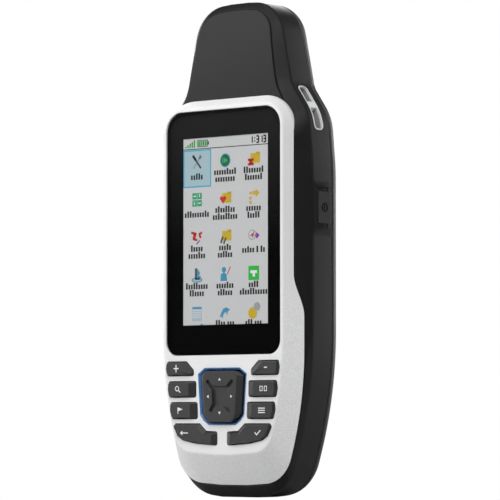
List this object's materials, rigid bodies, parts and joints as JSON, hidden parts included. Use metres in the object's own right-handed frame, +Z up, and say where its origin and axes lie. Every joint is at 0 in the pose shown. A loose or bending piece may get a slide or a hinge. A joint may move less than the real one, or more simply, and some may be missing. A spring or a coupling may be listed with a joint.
{
  "type": "handheld gps unit",
  "caption": "Upright handheld satellite navigator with a colour screen, keypad and rocker, a tall aerial housing, a side power key and a locked battery bay at the rear.",
  "frame": {"origin": "middle of the flat foot on the bottom of the case", "axes": "+Z up along the unit's height, screen facing -Y, +X to the viewer's right"},
  "size_m": [0.0679, 0.0454, 0.172],
  "materials": {
    "white_shell": "satin, fine-grained",
    "lens_glass": "polished",
    "adhesive": "matt",
    "display_glass": "smooth",
    "plated_steel": "satin",
    "dark_shell": "satin, fine-grained",
    "seal_rubber": "matt",
    "key_rubber": "satin",
    "blue_trim": "gloss",
    "circuit_board": "satin",
    "spring_steel": "bright",
    "ceramic_former": "matt",
    "copper_strip": "bright",
    "gold_plate": "bright",
    "grey_insert": "satin",
    "bay_plastic": "matt",
    "cell_jacket": "gloss",
    "socket_black": "matt"
  },
  "bodies": {
    "housing": {"front_bezel": "white_shell", "screen_lens": "lens_glass", "lens_gasket": "adhesive", "display_panel": "display_glass", "display_frame": "plated_steel", "front_case": "dark_shell", "back_shell": "dark_shell", "case_seal": "seal_rubber", "rocker_ring": "blue_trim", "keypad_membrane": "seal_rubber", "dome_sheet": "spring_steel", "key_board": "circuit_board", "main_board": "circuit_board", "shield_can": "plated_steel", "aerial_former": "ceramic_former", "aerial_helix": "copper_strip", "aerial_base": "ceramic_former", "power_switch": "plated_steel", "lanyard_anchor": "grey_insert", "lanyard_bar": "plated_steel", "battery_tray": "bay_plastic", "battery_springs": "spring_steel", "battery_contacts": "gold_plate", "aa_cell_left": "cell_jacket", "aa_cell_right": "cell_jacket", "cover_gasket": "seal_rubber", "cap_lugs": "dark_shell", "cap_pin": "plated_steel", "usb_socket": "plated_steel", "aerial_socket": "gold_plate", "card_socket": "plated_steel", "beeper": "socket_black", "mounting_spine": "dark_shell", "spine_insert": "gold_plate", "case_screws": "plated_steel", "board_screws": "plated_steel"},
    "key_zoom_in": {"key_zoom_in": "key_rubber"},
    "key_zoom_out": {"key_zoom_out": "key_rubber"},
    "key_find": {"key_find": "key_rubber"},
    "key_page": {"key_page": "key_rubber"},
    "key_mark": {"key_mark": "key_rubber"},
    "key_menu": {"key_menu": "key_rubber"},
    "key_quit": {"key_quit": "key_rubber"},
    "key_enter": {"key_enter": "key_rubber"},
    "rocker_cross": {"rocker_post": "plated_steel"},
    "rocker": {"rocker_cap": "key_rubber", "rocker_ears": "key_rubber"},
    "power_key": {"power_key": "dark_shell"},
    "battery_cover": {"battery_cover": "dark_shell"},
    "cover_lock": {"cover_lock": "plated_steel"},
    "lock_ring": {"lock_ring": "plated_steel"},
    "weather_cap": {"weather_cap": "seal_rubber"}
  },
  "joints": [
    {"name": "key_zoom_in_press", "type": "slide", "parent": "housing", "child": "key_zoom_in", "axis": [0, 1, 0], "range_m": [0, 0.0006], "stiffness_N_per_m": 2500},
    {"name": "key_zoom_out_press", "type": "slide", "parent": "housing", "child": "key_zoom_out", "axis": [0, 1, 0], "range_m": [0, 0.0006], "stiffness_N_per_m": 2500},
    {"name": "key_find_press", "type": "slide", "parent": "housing", "child": "key_find", "axis": [0, 1, 0], "range_m": [0, 0.0006], "stiffness_N_per_m": 2500},
    {"name": "key_page_press", "type": "slide", "parent": "housing", "child": "key_page", "axis": [0, 1, 0], "range_m": [0, 0.0006], "stiffness_N_per_m": 2500},
    {"name": "key_mark_press", "type": "slide", "parent": "housing", "child": "key_mark", "axis": [0, 1, 0], "range_m": [0, 0.0006], "stiffness_N_per_m": 2500},
    {"name": "key_menu_press", "type": "slide", "parent": "housing", "child": "key_menu", "axis": [0, 1, 0], "range_m": [0, 0.0006], "stiffness_N_per_m": 2500},
    {"name": "key_quit_press", "type": "slide", "parent": "housing", "child": "key_quit", "axis": [0, 1, 0], "range_m": [0, 0.0006], "stiffness_N_per_m": 2500},
    {"name": "key_enter_press", "type": "slide", "parent": "housing", "child": "key_enter", "axis": [0, 1, 0], "range_m": [0, 0.0006], "stiffness_N_per_m": 2500},
    {"name": "rocker_up_down", "type": "hinge", "parent": "housing", "child": "rocker_cross", "pos_m": [0, -0.0117, 0.0348], "axis": [1, 0, 0], "range_deg": [-3, 3], "stiffness_Nm_per_rad": 0.35},
    {"name": "rocker_left_right", "type": "hinge", "parent": "rocker_cross", "child": "rocker", "pos_m": [0, -0.0117, 0.0348], "axis": [0, 0, 1], "range_deg": [-3, 3], "stiffness_Nm_per_rad": 0.35},
    {"name": "power_key_press", "type": "slide", "parent": "housing", "child": "power_key", "axis": [-1, 0, 0], "range_m": [0, 0.0005], "stiffness_N_per_m": 3000},
    {"name": "battery_cover_off", "type": "slide", "parent": "housing", "child": "battery_cover", "axis": [0, 1, 0], "range_m": [0, 0.03]},
    {"name": "cover_lock_turn", "type": "hinge", "parent": "battery_cover", "child": "cover_lock", "pos_m": [0, 0.02, 0.02], "axis": [0, 1, 0], "range_deg": [0, 90]},
    {"name": "lock_ring_flip", "type": "hinge", "parent": "cover_lock", "child": "lock_ring", "pos_m": [0, 0.02225, 0.02], "axis": [-1, 0, 0], "range_deg": [0, 170]},
    {"name": "weather_cap_hinge", "type": "hinge", "parent": "housing", "child": "weather_cap", "pos_m": [0, 0.016, 0.0866], "axis": [-1, 0, 0], "range_deg": [0, 110]}
  ]
}
